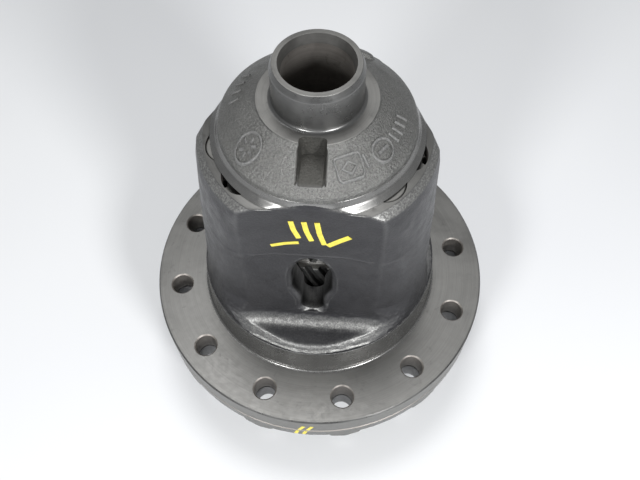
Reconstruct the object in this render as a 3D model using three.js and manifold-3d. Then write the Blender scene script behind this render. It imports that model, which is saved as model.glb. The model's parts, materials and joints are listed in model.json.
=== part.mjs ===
// A helical-gear limited-slip differential for a truck drive axle, standing on the hub of its cover.
// Millimetres, +Z up along the axle, origin at the middle of the lower hub's end face.

import * as THREE from "three";
import { mergeVertices } from "three/addons/utils/BufferGeometryUtils.js";
import Module from "manifold-3d";

const wasm = await Module();
wasm.setup();

// ---- Driving dimensions -------------------------------------------------------------------------

const CLEAR = 0.125; // between faces that slide on each other
const PAST = 5; // how far a cutting tool runs past the face it opens
const GRIP = 1; // how far joined solids run into each other
const WELD = 1e-4; // vertices closer than this are one

const hub = {
  radius: 22.62, // 45.24 mm journal for a tapered roller bearing
  bore: 17.25,
  endRadius: 21.2,
  mouth: 18.6, // inner chamfer at the end face
  chamfer: 3.5,
  mouthDepth: 5.2,
  fillet: 1.9,
  filletMiddle: 0.475, // how far the fillet's middle stands off the journal and the shoulder
  shoulder: 30.5, // outer radius of the face the bearing seats on
};

const level = {
  lowerShoulder: 22.5,
  coverUnderside: 41,
  joint: 53, // where cover and case meet
  flangeTop: 70, // seat of the ring gear
  pilotTop: 93.4,
  faceFoot: 110, // lower end of the cast faces
  annulus: 217.4,
  domeRim: 224.7,
  upperShoulder: 241.7,
  top: 264.2,
};

const flange = { radius: 111, chamfer: 1.1 };
const pilot = { foot: 77, top: 75.1, relief: 0.8 };
const bolt = { count: 12, circle: 94.8, radius: 6.9, azimuth: 8, boss: 16, bossFoot: 37 };
const body = {
  foot: 74.3, // the drafted round wall's radius just above the pilot
  footRise: 1.2,
  top: 63.9,
  topDrop: 5, // from the annulus down to the wall's upper edge
  turned: 59.5, // outer radius of what the lathe cleans up on top
  turnedDrop: 1.1,
  flat: 52, // the cast faces' distance from the axis at the top
  draft: 1.6,
  flatAzimuth: 265,
};
// Beside each cast face the round wall is eased down to the face's edges by a second, shallower flat.
const flank = {
  turn: 19, // degrees from the face's azimuth to the flank's
  flat: 61.3,
  foot: [
    [64.2, 106],
    [67.5, 99],
    [73, 94.6],
  ],
};
const shelf = {
  fillet: 9, // between a cast face and the shelf at its foot
  filletRise: 2.6,
  filletArc: [180, 245],
  roll: [
    [63, 99.8],
    [68, 97.4],
    [72, 94.4],
  ],
};
const neck = { radius: 55.6, middle: 53.2, throat: 51.2, dome: 50.4, middleRise: 3, throatRise: 6.2 };
const dome = {
  edge: 4.2, // radius of the rounded rim
  edgeArc: [20, 55],
  slope: [
    [41, 234.2],
    [35.5, 238.6],
  ],
  lip: { width: 0.4, drop: 1 }, // round the shoulder, before the lathe's face begins
};
const recess = { width: 13.5, floor: 230, inner: 25.5, corner: 2.5 };
const sideWindow = { foot: 110.7, top: 171, radius: 11, neck: 6.4, wide: 144, cornerZ: 124 };

const gear = {
  planetTeeth: 8,
  sunTeeth: 27,
  helix: THREE.MathUtils.degToRad(22),
  pressure: THREE.MathUtils.degToRad(25),
  centreRadius: 46.5, // from the main axis to each planet's axis
  pairAzimuth: 205.6,
  backlash: 0.5,
  steps: { side: 2, long: 6, stub: 2 }, // slices along each stretch of helical teeth
  planetTip: 11.75,
  planetRoot: 9.35,
  sunTip: 36.87,
  sunRoot: 34.5,
};
gear.planetPitch = (gear.centreRadius * gear.planetTeeth) / (gear.planetTeeth + gear.sunTeeth);
gear.sunPitch = gear.centreRadius - gear.planetPitch;
gear.halfPair = THREE.MathUtils.radToDeg(Math.asin(gear.planetPitch / gear.centreRadius));

const cavity = { sun: 37.4, pocket: 12, pocketTop: 217.9, ceiling: 194, hub: 26.4, hubDepth: 12.5 };
const cover = {
  boss: 34.2,
  bossTop: 78,
  hubFloor: 65.5,
  flare: 1.5, // from the bearing shoulder to the cast underside
  underside: [
    [42, 31],
    [62, 36.5],
    [84, 39.5],
    [100, level.coverUnderside],
  ],
  rim: { inset: 3, lip: 0.5, rise: 3.5 },
};
const stack = { washer: 2, spacer: 4, faceWidth: 52, washerRadius: 33.8, bore: 19 };
const sideGear = { hub: 26, hubLength: 11.5, splines: 31, splineMajor: 16.5, splineMinor: 15.3 };
const planet = { foot: 53.3, top: 216.6, disc: 11.6, discHeight: 4, gap: 0.4, neck: 8.8, stub: 20 };
const dowel = { azimuth: 53, count: 2, radius: 4, hole: 4.2, foot: 46.5, top: 66 };
const screw = {
  azimuth: 23,
  count: 4,
  head: 6.5,
  headHeight: 5,
  seat: dowel.foot,
  counterbore: 7,
  shank: 3.75,
  hole: 4,
  end: 66,
  hex: 3,
  hexDepth: 3,
};
const HOLE_END = 1; // between a blind hole's end and the screw or pin in it

// Sides of a full circle, finer on what is larger.
const SIDES = { body: 48, gearHub: 32, washer: 20, pocket: 20, planet: 16, boltHole: 12, small: 8 };
const HEXAGON = 6;

// ---- Solids -------------------------------------------------------------------------------------

const rad = THREE.MathUtils.degToRad;

// A manifold-3d solid with the shape of a three.js geometry.
function solid(geometry) {
  const bare = geometry.clone();
  bare.deleteAttribute("normal");
  bare.deleteAttribute("uv");
  const merged = mergeVertices(bare, WELD);
  return new wasm.Manifold(
    new wasm.Mesh({
      numProp: 3,
      vertProperties: merged.attributes.position.array,
      triVerts: new Uint32Array(merged.index.array),
    }),
  );
}

// A ring or a body of revolution about Z from an outline of [radius, z] points that closes on itself.
function revolved(outline, sides) {
  const points = [...outline, outline[0]].map(([r, z]) => new THREE.Vector2(r, z));
  return solid(new THREE.LatheGeometry(points, sides).rotateX(Math.PI / 2));
}

// An upright cylinder whose flats, not corners, are at the radius when it cuts a hole.
function cylinder(radius, foot, top, sides, { x = 0, y = 0, hole = false } = {}) {
  const r = hole ? radius / Math.cos(Math.PI / sides) : radius;
  const shape = new THREE.CylinderGeometry(r, r, top - foot, sides);
  return solid(shape.rotateX(Math.PI / 2).translate(x, y, (foot + top) / 2));
}

function ring(inner, outer, foot, top, sides) {
  const outline = [
    [inner, foot],
    [outer, foot],
    [outer, top],
    [inner, top],
  ];
  return revolved(outline, sides);
}

function polar(radius, azimuth) {
  return { x: radius * Math.cos(rad(azimuth)), y: radius * Math.sin(rad(azimuth)) };
}

// The azimuths of a pattern of equally spaced features.
function around(count, first) {
  return Array.from({ length: count }, (_, i) => first + (i * 360) / count);
}

// Points of an arc in an outline, from one angle to another in degrees, both ends included.
function arc(r, z, radius, [from, to], steps) {
  return Array.from({ length: steps + 1 }, (_, i) => {
    const angle = rad(from + ((to - from) * i) / steps);
    return [r + radius * Math.cos(angle), z + radius * Math.sin(angle)];
  });
}

// A flat shape drawn as (sideways, up) and pushed outwards along +X from one distance to another,
// then turned to an azimuth.
function pushedOut(shape, from, to, azimuth) {
  const depth = to - from;
  const geometry = new THREE.ExtrudeGeometry(shape, { depth, curveSegments: 4, bevelEnabled: false });
  geometry.applyMatrix4(
    new THREE.Matrix4().makeBasis(
      new THREE.Vector3(0, 1, 0),
      new THREE.Vector3(0, 0, 1),
      new THREE.Vector3(1, 0, 0),
    ),
  );
  return solid(geometry.translate(from, 0, 0).rotateZ(rad(azimuth)));
}

function subtractAll(base, tools) {
  return tools.reduce((result, tool) => result.subtract(tool), base);
}

function addAll(base, pieces) {
  return pieces.reduce((result, piece) => result.add(piece), base);
}

// ---- Gear teeth ---------------------------------------------------------------------------------

const involute = (angle) => Math.tan(angle) - angle;

// Half of a tooth's angular thickness at a radius, for a gear of this pitch radius and pressure angle.
function halfTooth(radius, pitch, teeth) {
  const atPitch = Math.PI / (2 * teeth) - gear.backlash / (4 * pitch);
  const base = pitch * Math.cos(gear.pressure);
  const angle = Math.acos(Math.min(1, base / radius));
  return atPitch + involute(gear.pressure) - involute(angle);
}

// The outline of a gear, a trapezoid for each tooth, with one tooth's centre at the angle given.
function toothedShape({ teeth, pitch, root, tip }, angle) {
  const points = [];
  for (let i = 0; i < teeth; i += 1) {
    const centre = angle + (i * 2 * Math.PI) / teeth;
    const halfRoot = halfTooth(root, pitch, teeth);
    const halfTip = halfTooth(tip, pitch, teeth);
    const corners = [
      [root, centre - halfRoot],
      [tip, centre - halfTip],
      [tip, centre + halfTip],
      [root, centre + halfRoot],
    ];
    points.push(...corners.map(([r, a]) => new THREE.Vector2(r * Math.cos(a), r * Math.sin(a))));
  }
  return new THREE.Shape(points);
}

// A helical gear between two heights. Its hand is +1 or -1, and its phase is a tooth's angle at z = 0.
function helicalGear(kind, hand, phase, foot, top, steps) {
  const turnPerMm = (hand * Math.tan(gear.helix)) / kind.pitch;
  const shape = toothedShape(kind, phase);
  const geometry = new THREE.ExtrudeGeometry(shape, { depth: top - foot, steps, bevelEnabled: false });
  geometry.translate(0, 0, foot);
  const position = geometry.attributes.position;
  const axis = new THREE.Vector3(0, 0, 1);
  const point = new THREE.Vector3();
  for (let i = 0; i < position.count; i += 1) {
    point.fromBufferAttribute(position, i);
    point.applyAxisAngle(axis, turnPerMm * point.z);
    position.setXYZ(i, point.x, point.y, point.z);
  }
  return solid(geometry);
}

const planetKind = {
  teeth: gear.planetTeeth,
  pitch: gear.planetPitch,
  root: gear.planetRoot,
  tip: gear.planetTip,
};
const sunKind = { teeth: gear.sunTeeth, pitch: gear.sunPitch, root: gear.sunRoot, tip: gear.sunTip };

// The phase of a gear meshing with another whose tooth phase is known, across a line of centres that
// points from the known gear to the new one at the angle given. A tooth of one faces a gap of the other.
function meshedPhase(known, knownTeeth, teeth, direction) {
  const offset = ((known - direction) * knownTeeth) / (2 * Math.PI);
  return direction + Math.PI - (2 * Math.PI * offset) / teeth + Math.PI / teeth;
}

// ---- The case -----------------------------------------------------------------------------------

// The hub's outline from its shoulder to its end face and into its mouth, measured from the end face.
function hubOutline(endZ, direction, shoulderZ) {
  return [
    [hub.shoulder, shoulderZ],
    [hub.radius + hub.fillet, shoulderZ],
    [hub.radius + hub.filletMiddle, shoulderZ + direction * hub.filletMiddle],
    [hub.radius, shoulderZ + direction * hub.fillet],
    [hub.radius, endZ - direction * hub.chamfer],
    [hub.endRadius, endZ],
    [hub.mouth, endZ],
    [hub.bore, endZ - direction * hub.mouthDepth],
  ];
}

function caseOutline() {
  const rim = flange.radius - flange.chamfer;
  return [
    [cavity.sun, level.joint],
    [rim, level.joint],
    [flange.radius, level.joint + flange.chamfer],
    [flange.radius, level.flangeTop - flange.chamfer],
    [rim, level.flangeTop],
    [pilot.foot + pilot.relief, level.flangeTop],
    [pilot.foot, level.flangeTop + pilot.relief],
    [pilot.top, level.pilotTop],
    [body.foot, level.pilotTop + body.footRise],
    [body.top, level.annulus - body.topDrop],
    [body.turned, level.annulus - body.turnedDrop],
    [neck.radius, level.annulus],
    [neck.middle, level.annulus + neck.middleRise],
    [neck.throat, level.annulus + neck.throatRise],
    [neck.dome, level.domeRim],
    ...arc(neck.dome - dome.edge, level.domeRim, dome.edge, dome.edgeArc, 1),
    ...dome.slope,
    [hub.shoulder + dome.lip.width, level.upperShoulder - dome.lip.drop],
    ...hubOutline(level.top, 1, level.upperShoulder),
    [hub.bore, cavity.ceiling + cavity.hubDepth],
    [cavity.hub, cavity.ceiling + cavity.hubDepth],
    [cavity.hub, cavity.ceiling],
    [cavity.sun, cavity.ceiling],
  ];
}

// The space outside a flat on the body, down to the sloping shelf at its foot.
function besideFlat(azimuth, flat, foot) {
  const reach = flange.radius;
  const high = level.top;
  const outline = [
    [flat, high],
    [flat, level.annulus],
    ...foot,
    [reach, level.pilotTop],
    [reach, high],
  ];
  const shape = new THREE.Shape(outline.map(([d, z]) => new THREE.Vector2(d, z)));
  const geometry = new THREE.ExtrudeGeometry(shape, { depth: 2 * reach, bevelEnabled: false });
  geometry.translate(0, 0, -reach).rotateX(Math.PI / 2);
  return solid(geometry.rotateZ(rad(azimuth)));
}

function besideFace(azimuth) {
  const filletAt = body.flat + body.draft + shelf.fillet;
  const fillet = arc(filletAt, level.faceFoot + shelf.filletRise, shelf.fillet, shelf.filletArc, 4);
  return besideFlat(azimuth, body.flat, [...fillet, ...shelf.roll]);
}

function besideFlanks(azimuth) {
  const foot = [[flank.flat + body.draft, level.faceFoot], ...flank.foot];
  return [azimuth - flank.turn, azimuth + flank.turn].map((at) => besideFlat(at, flank.flat, foot));
}

// The oil window in a cast face: a wide round-topped slot that narrows towards its round foot.
function windowTool(azimuth) {
  const { foot, top, radius, neck: half, wide, cornerZ } = sideWindow;
  const shape = new THREE.Shape();
  shape.absarc(0, foot + half, half, Math.PI, 2 * Math.PI);
  shape.lineTo(half, cornerZ);
  shape.lineTo(radius, wide);
  shape.absarc(0, top - radius, radius, 0, Math.PI);
  shape.lineTo(-radius, wide);
  shape.lineTo(-half, cornerZ);
  return pushedOut(shape, cavity.sun - PAST, body.flat + PAST, azimuth);
}

// The oil recess in the dome, open at its outer end, with round inner corners and a level floor.
function recessTool() {
  const half = recess.width / 2;
  const { inner, corner } = recess;
  const shape = new THREE.Shape();
  shape.moveTo(body.flat + PAST, -half);
  shape.lineTo(body.flat + PAST, half);
  shape.lineTo(inner + corner, half);
  shape.absarc(inner + corner, half - corner, corner, Math.PI / 2, Math.PI);
  shape.absarc(inner + corner, corner - half, corner, Math.PI, 1.5 * Math.PI);
  const depth = level.upperShoulder - recess.floor + PAST;
  const geometry = new THREE.ExtrudeGeometry(shape, { depth, curveSegments: 1, bevelEnabled: false });
  return solid(geometry.translate(0, 0, recess.floor).rotateZ(rad(body.flatAzimuth)));
}

// The tools for one pattern's holes, all of which lie on the ring gear's bolt circle.
function holes(pattern, radius, foot, top, sides) {
  const tool = (azimuth) =>
    cylinder(radius, foot, top, sides, { ...polar(bolt.circle, azimuth), hole: true });
  return around(pattern.count, pattern.azimuth).map(tool);
}

const boltHoles = holes(bolt, bolt.radius, 0, level.flangeTop + PAST, SIDES.boltHole);

const planetAzimuths = around(3, gear.pairAzimuth).flatMap((azimuth) => [
  azimuth - gear.halfPair,
  azimuth + gear.halfPair,
]);

function makeCase() {
  const pockets = planetAzimuths.map((azimuth) =>
    cylinder(cavity.pocket, level.joint - PAST, cavity.pocketTop, SIDES.pocket, {
      ...polar(gear.centreRadius, azimuth),
      hole: true,
    }),
  );
  const faces = around(3, body.flatAzimuth);
  return subtractAll(revolved(caseOutline(), SIDES.body), [
    ...faces.map(besideFace),
    ...faces.flatMap(besideFlanks),
    ...pockets,
    ...faces.map(windowTool),
    recessTool(),
    ...boltHoles,
    ...holes(screw, screw.hole, level.joint - PAST, screw.end + HOLE_END, SIDES.small),
    ...holes(dowel, dowel.hole, level.joint - PAST, dowel.top + HOLE_END, SIDES.small),
  ]);
}

// ---- The cover ----------------------------------------------------------------------------------

function coverOutline() {
  const rim = flange.radius - flange.chamfer;
  return [
    ...hubOutline(0, -1, level.lowerShoulder).reverse(),
    [hub.shoulder + cover.flare, level.lowerShoulder + cover.flare],
    ...cover.underside,
    [flange.radius - cover.rim.inset, level.coverUnderside + cover.rim.lip],
    [flange.radius, level.coverUnderside + cover.rim.rise],
    [flange.radius, level.joint - flange.chamfer],
    [rim, level.joint],
    [cover.boss, level.joint],
    [cover.boss, cover.bossTop],
    [cavity.hub, cover.bossTop],
    [cavity.hub, cover.hubFloor],
    [hub.bore, cover.hubFloor],
  ];
}

function makeCover() {
  const bosses = around(bolt.count, bolt.azimuth).map((azimuth) =>
    cylinder(bolt.boss, bolt.bossFoot, level.joint - PAST, SIDES.planet, polar(bolt.circle, azimuth)),
  );
  const whole = addAll(revolved(coverOutline(), SIDES.body), bosses);
  return subtractAll(whole, [
    ...boltHoles,
    ...holes(screw, screw.hole, 0, level.joint + PAST, SIDES.small),
    ...holes(screw, screw.counterbore, 0, screw.seat, SIDES.boltHole),
    ...holes(dowel, dowel.hole, dowel.foot, level.joint + PAST, SIDES.small),
  ]);
}

// ---- The gears ----------------------------------------------------------------------------------

const middle = { lowerWasher: cover.bossTop + stack.washer + stack.faceWidth };
middle.spacer = middle.lowerWasher + stack.washer;
middle.upperWasher = middle.spacer + stack.spacer;

// The splined bore that the axle shaft slides into, as a star of straight-sided grooves.
function splineTool(foot, top) {
  const points = Array.from({ length: 2 * sideGear.splines }, (_, i) => {
    const r = i % 2 ? sideGear.splineMajor : sideGear.splineMinor;
    const angle = (i * Math.PI) / sideGear.splines;
    return new THREE.Vector2(r * Math.cos(angle), r * Math.sin(angle));
  });
  const shape = new THREE.Shape(points);
  const geometry = new THREE.ExtrudeGeometry(shape, { depth: top - foot, bevelEnabled: false });
  return solid(geometry.translate(0, 0, foot));
}

// A side gear with its toothed part between two heights and its hub from there to a third.
function makeSideGear(hand, phase, toothFoot, toothTop, hubEnd) {
  const foot = Math.min(toothFoot, hubEnd);
  const top = Math.max(toothTop, hubEnd);
  return helicalGear(sunKind, hand, phase, toothFoot, toothTop, gear.steps.side)
    .add(cylinder(sideGear.hub, foot, top, SIDES.gearHub))
    .subtract(splineTool(foot - PAST, top + PAST));
}

// A planet: an end disc, a long toothed part, a neck that clears the other side gear, and a toothed
// stub that meshes with the planet's partner. The partner is the same piece upside down.
function makePlanet(hand, phase, inverted) {
  const mirror = (z) => (inverted ? planet.foot + planet.top - z : z);
  const span = (a, b) => [Math.min(mirror(a), mirror(b)), Math.max(mirror(a), mirror(b))];
  const discFoot = planet.top - planet.discHeight;
  const stubFoot = planet.foot + planet.discHeight + planet.gap;
  const longFoot = middle.spacer + stack.washer;
  const stubSpan = span(stubFoot, stubFoot + planet.stub);
  return helicalGear(planetKind, hand, phase, ...span(longFoot, discFoot), gear.steps.long)
    .add(helicalGear(planetKind, hand, phase, ...stubSpan, gear.steps.stub))
    .add(cylinder(planet.neck, ...span(stubFoot + GRIP, longFoot + GRIP), SIDES.planet))
    .add(cylinder(planet.disc, ...span(discFoot, planet.top), SIDES.planet));
}

// Tooth phases at z = 0 in the frame of the first pair, whose middle lies along +X. The upper side
// gear has a tooth on the part's own +X axis.
const halfPair = rad(gear.halfPair);
const phase = { upper: -rad(gear.pairAzimuth) };
phase.a = meshedPhase(phase.upper, gear.sunTeeth, gear.planetTeeth, -halfPair);
phase.b = meshedPhase(phase.a, gear.planetTeeth, gear.planetTeeth, Math.PI / 2);
phase.lower = meshedPhase(phase.b, gear.planetTeeth, gear.sunTeeth, halfPair + Math.PI);

// ---- Fasteners ----------------------------------------------------------------------------------

function makeScrew() {
  const headFoot = screw.seat - screw.headHeight;
  return cylinder(screw.head, headFoot, screw.seat, SIDES.boltHole)
    .add(cylinder(screw.shank, screw.seat - GRIP, screw.end, SIDES.small))
    .subtract(cylinder(screw.hex, headFoot - PAST, headFoot + screw.hexDepth, HEXAGON));
}

// ---- The assembly -------------------------------------------------------------------------------

const finish = {
  castIron: { color: 0x5c5d60, roughness: 0.62, metalness: 0.75 },
  coverIron: { color: 0x606164, roughness: 0.6, metalness: 0.75 },
  gearSteel: { color: 0x77787b, roughness: 0.38, metalness: 0.95 },
  planetSteel: { color: 0x66676b, roughness: 0.42, metalness: 0.95 },
  washerSteel: { color: 0x8d8c88, roughness: 0.35, metalness: 0.9 },
  spacerSteel: { color: 0x7f8084, roughness: 0.4, metalness: 0.9 },
  screwSteel: { color: 0x2c2c2e, roughness: 0.5, metalness: 0.85 },
  pinSteel: { color: 0x9a9b9e, roughness: 0.3, metalness: 0.95 },
};

function mesh(name, body3d, look) {
  const made = body3d.getMesh();
  const geometry = new THREE.BufferGeometry();
  geometry.setAttribute("position", new THREE.BufferAttribute(made.vertProperties, made.numProp));
  geometry.setIndex(new THREE.BufferAttribute(made.triVerts, 1));
  const faceted = geometry.toNonIndexed();
  faceted.computeVertexNormals();
  const result = new THREE.Mesh(faceted, new THREE.MeshStandardMaterial(look));
  result.name = name;
  return result;
}

const differential = new THREE.Group();
differential.add(mesh("case", makeCase(), finish.castIron));
differential.add(mesh("end_cover", makeCover(), finish.coverIron));

const upperTeeth = [middle.upperWasher + stack.washer + CLEAR, cavity.ceiling - stack.washer - CLEAR];
const lowerTeeth = [cover.bossTop + stack.washer + CLEAR, middle.lowerWasher];
const upperGear = makeSideGear(1, 0, ...upperTeeth, cavity.ceiling + sideGear.hubLength);
const lowerPhase = phase.lower + rad(gear.pairAzimuth);
const lowerHubEnd = cover.bossTop - sideGear.hubLength;
const lowerGear = makeSideGear(-1, lowerPhase, ...lowerTeeth, lowerHubEnd);
differential.add(mesh("side_gear_upper", upperGear, finish.gearSteel));
differential.add(mesh("side_gear_lower", lowerGear, finish.gearSteel));

around(3, gear.pairAzimuth).forEach((azimuth, i) => {
  const pair = new THREE.Group();
  pair.rotation.z = rad(azimuth);
  const a = mesh(`planet_${i + 1}a`, makePlanet(-1, phase.a, false), finish.planetSteel);
  const b = mesh(`planet_${i + 1}b`, makePlanet(1, phase.b, true), finish.planetSteel);
  const place = polar(gear.centreRadius, gear.halfPair);
  a.position.set(place.x, -place.y, 0);
  b.position.set(place.x, place.y, 0);
  pair.add(a, b);
  differential.add(pair);
});

function addWasher(name, inner, foot, height, look) {
  const shape = ring(inner, stack.washerRadius, foot, foot + height, SIDES.washer);
  differential.add(mesh(name, shape, look));
}
const hubClear = cavity.hub;
const upperWasherFoot = cavity.ceiling - stack.washer;
addWasher("thrust_washer_lower", hubClear, cover.bossTop, stack.washer, finish.washerSteel);
addWasher("centre_washer_lower", stack.bore, middle.lowerWasher, stack.washer, finish.washerSteel);
addWasher("centre_spacer", stack.bore, middle.spacer, stack.spacer, finish.spacerSteel);
addWasher("centre_washer_upper", stack.bore, middle.upperWasher, stack.washer, finish.washerSteel);
addWasher("thrust_washer_upper", hubClear, upperWasherFoot, stack.washer, finish.washerSteel);

around(screw.count, screw.azimuth).forEach((azimuth, i) => {
  const { x, y } = polar(bolt.circle, azimuth);
  const piece = mesh(`cover_screw_${i + 1}`, makeScrew(), finish.screwSteel);
  piece.position.set(x, y, 0);
  differential.add(piece);
});

around(dowel.count, dowel.azimuth).forEach((azimuth, i) => {
  const { x, y } = polar(bolt.circle, azimuth);
  const pin = cylinder(dowel.radius, dowel.foot, dowel.top, SIDES.small);
  const piece = mesh(`dowel_pin_${i + 1}`, pin, finish.pinSteel);
  piece.position.set(x, y, 0);
  differential.add(piece);
});

export default differential;
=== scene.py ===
"""A helical-gear limited-slip differential standing on its lower hub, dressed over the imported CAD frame.

Shapes are worked out in millimetres in the row's own frame and become metres when a mesh is made.
"""

import json
import math

import bpy
from mathutils import Matrix, Vector, noise


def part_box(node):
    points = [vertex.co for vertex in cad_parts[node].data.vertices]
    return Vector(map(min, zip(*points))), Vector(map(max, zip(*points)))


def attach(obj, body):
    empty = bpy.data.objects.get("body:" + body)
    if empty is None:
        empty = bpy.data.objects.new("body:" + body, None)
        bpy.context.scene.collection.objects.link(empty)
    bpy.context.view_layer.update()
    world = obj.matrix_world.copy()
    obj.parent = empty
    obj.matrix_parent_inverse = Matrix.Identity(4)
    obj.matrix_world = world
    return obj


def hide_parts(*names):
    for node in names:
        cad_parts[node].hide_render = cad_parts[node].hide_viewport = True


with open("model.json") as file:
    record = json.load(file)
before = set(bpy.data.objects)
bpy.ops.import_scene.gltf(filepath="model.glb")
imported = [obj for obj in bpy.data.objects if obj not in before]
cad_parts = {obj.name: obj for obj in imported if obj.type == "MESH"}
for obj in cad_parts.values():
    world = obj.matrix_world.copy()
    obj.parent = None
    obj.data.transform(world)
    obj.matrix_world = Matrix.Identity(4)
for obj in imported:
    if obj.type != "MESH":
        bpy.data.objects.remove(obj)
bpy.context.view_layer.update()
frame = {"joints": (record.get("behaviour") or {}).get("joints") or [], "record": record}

MM = 0.001

# ---- Driving dimensions ----


def cad_box(node):
    """The low and high corners of a CAD node's box, in millimetres."""
    low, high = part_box(node)
    return [c / MM for c in low], [c / MM for c in high]


def z_span(node):
    return [corner[2] for corner in cad_box(node)]


def mount_z(name):
    return next(m["pos_m"][2] for m in frame["record"]["mounts"] if m["name"] == name) / MM


def joint_axis(name):
    """Where a joint's axis stands, in millimetres from the main axis, and its azimuth in radians."""
    joint = next(j for j in frame["joints"] if j["name"] == name)
    x, y = joint["pos_m"][0] / MM, joint["pos_m"][1] / MM
    return math.hypot(x, y), math.atan2(y, x)


CASE_LOW, CASE_HIGH = cad_box("case")
JOINT = CASE_LOW[2]  # the plane where case and cover meet
TOP = CASE_HIGH[2]
RIM = CASE_HIGH[0] - 0.1  # just inside the CAD flange, which leaves room for paint on it
FLANGE_TOP = mount_z("ring_gear_seat")
UPPER_SHOULDER = mount_z("upper_bearing_seat")
LOWER_SHOULDER = mount_z("lower_bearing_seat")
PLANET_CIRCLE = joint_axis("planet_1a_spin")[0]

JOURNAL, JOURNAL_FILLET = 22.62, 1.9
HUB_CHAMFER = 3.3
BORE = 17.25
MOUTH, MOUTH_DEPTH = 18.6, 5.2  # where the bore widens at each hub's end
SHOULDER_R = 30.5
PILOT_FOOT, PILOT_TOP, PILOT_Z = 77.0, 75.1, FLANGE_TOP + 23.4
WALL_FOOT, WALL_TOP = 74.3, 63.9  # the body's drafted round stretches, between the cast faces
FACE = 52.0  # the cast faces' distance from the axis at the top
DRAFT = 1.6
FLANK, FLANK_TURN = 61.3, 19  # the flats that ease the round wall down to a face's edges
FACE_AZIMUTHS = [265, 25, 145]
COVE_TOP = FLANGE_TOP + 47
ANNULUS = FLANGE_TOP + 147.4
WALL_TOP_Z = ANNULUS - 5
DOME_RIM = FLANGE_TOP + 154.7
PARTING, PARTING_DIP = FLANGE_TOP + 107, 5
BOLTS, BOLT_CIRCLE, BOLT_R, BOLT_AZIMUTH = 12, 94.8, 6.9, 8
POCKET_R, POCKET_TOP = 12.0, ANNULUS + 0.5
SUN_CAVITY, CEILING, HUB_CAVITY, HUB_DEPTH = 37.4, 194.0, 26.4, 12.5
SCREWS, SCREW_AZIMUTH, SCREW_HOLE = 4, 23, 4.0
DOWELS, DOWEL_AZIMUTH, DOWEL_HOLE = 2, 53, 4.2
BLIND_DEPTH = 14  # of the screw and dowel holes in the case
HOLE_CHAMFER = 0.8
PAST = 5.0  # how far a cutting tool runs past the face it opens

# ---- Materials ----


class Nodes:
    """A short way to write a material's node tree."""

    def __init__(self, name):
        self.material = bpy.data.materials.new(name)
        self.material.use_nodes = True
        self.tree = self.material.node_tree
        self.shader = next(n for n in self.tree.nodes if n.type == "BSDF_PRINCIPLED")

    def add(self, kind, settings=None, **inputs):
        node = self.tree.nodes.new("ShaderNode" + kind)
        for key, value in (settings or {}).items():
            setattr(node, key, value)
        return self.put(node, **inputs)

    def put(self, node, **inputs):
        """Sets or links a node's inputs, except those given as None."""
        for key, value in inputs.items():
            if value is not None:
                self.feed(node.inputs[key.replace("_", " ")], value)
        return node

    def feed(self, socket, value):
        if isinstance(value, bpy.types.NodeSocket):
            self.tree.links.new(value, socket)
        else:
            socket.default_value = value

    def math(self, operation, a, b=0.0):
        node = self.add("Math", {"operation": operation})
        self.feed(node.inputs[0], a)
        self.feed(node.inputs[1], b)
        return node.outputs[0]

    def position(self):
        """The point in the piece's own frame, in millimetres."""
        here = self.add("TexCoord").outputs["Object"]
        return self.add("VectorMath", {"operation": "SCALE"}, Vector=here, Scale=1 / MM).outputs[0]

    def noise(self, vector, size, detail=3.0, roughness=0.55, distortion=0.0):
        """Noise whose blobs are about this many millimetres across."""
        character = {"Detail": detail, "Roughness": roughness, "Distortion": distortion}
        return self.add("TexNoise", Vector=vector, Scale=1 / size, **character).outputs["Fac"]

    def ramp(self, value, *stops):
        """A map from a value to a colour, from two (place, colour) stops."""
        node = self.add("ValToRGB", Fac=value)
        for element, (place, colour) in zip(node.color_ramp.elements, stops):
            element.position = place
            element.color = (*colour, 1)
        return node.outputs["Color"]

    def span(self, value, low, high, to_low, to_high):
        """A value's stretch from low to high, mapped to another and held there beyond it."""
        ends = {"From_Min": low, "From_Max": high, "To_Min": to_low, "To_Max": to_high}
        return self.add("MapRange", {"clamp": True}, Value=value, **ends).outputs["Result"]

    def mix(self, factor, a, b, blend="MIX"):
        node = self.add("Mix", {"data_type": "RGBA", "blend_type": blend})
        self.feed(node.inputs["Factor"], factor)
        # A Mix node has an A, a B and a Result for each kind of value; these are the colours.
        for socket, value in ((node.inputs[6], a), (node.inputs[7], b)):
            self.feed(socket, (*value, 1) if isinstance(value, tuple) else value)
        return node.outputs[2]

    def bump(self, height, strength, distance, normal=None):
        depth = distance * MM
        node = self.add("Bump", Height=height, Strength=strength, Distance=depth, Normal=normal)
        return node.outputs["Normal"]

    def edges(self, low, high):
        """1 on convex edges, which carry wear and a painted edge highlight; 0 elsewhere."""
        return self.span(self.add("NewGeometry").outputs["Pointiness"], low, high, 0, 1)

    def finish(self, colour, roughness, normal=None, metallic=1.0, **more):
        self.put(self.shader, Base_Color=colour, Roughness=roughness, Normal=normal)
        self.put(self.shader, Metallic=metallic, **more)
        return self.material


# The colour of the painted highlight on upward faces, and that of worn edges with a painted edge
# highlight.
PAINTED_HIGHLIGHT = (0.19, 0.19, 0.183)
WORN_AND_LIT_EDGE = (0.26, 0.26, 0.26)


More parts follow.
